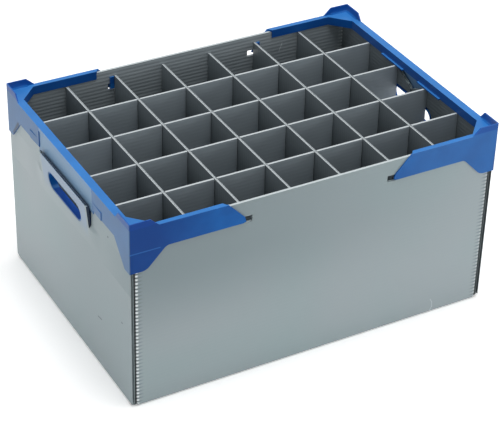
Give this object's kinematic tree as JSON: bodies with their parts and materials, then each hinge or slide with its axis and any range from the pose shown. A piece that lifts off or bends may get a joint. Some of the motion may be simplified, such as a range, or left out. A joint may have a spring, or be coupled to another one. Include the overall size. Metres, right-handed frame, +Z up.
{
  "type": "glass storage box",
  "caption": "Folded twin-wall plastic crate with two clipped-on end frames, hand grips, stacking lips and a grid of slotted boards that keeps glasses apart.",
  "frame": {"origin": "centre of the footprint, on the surface that the box stands on", "axes": "+X along the length, +Y across the width, +Z up"},
  "size_m": [0.5236, 0.3684, 0.27],
  "materials": {
    "sheet": "grey twin-wall polypropylene sheet, satin, fine lines at the flutes",
    "board": "grey twin-wall polypropylene board, satin, paler cut edges",
    "frame": "royal blue moulded polypropylene, semi-gloss"
  },
  "bodies": {
    "root": {"body": "sheet", "end_frame_left": "frame", "end_frame_right": "frame", "long_divider_1": "board", "long_divider_2": "board", "long_divider_3": "board", "long_divider_4": "board", "cross_divider_1": "board", "cross_divider_2": "board", "cross_divider_3": "board", "cross_divider_4": "board", "cross_divider_5": "board", "cross_divider_6": "board"}
  },
  "joints": []
}
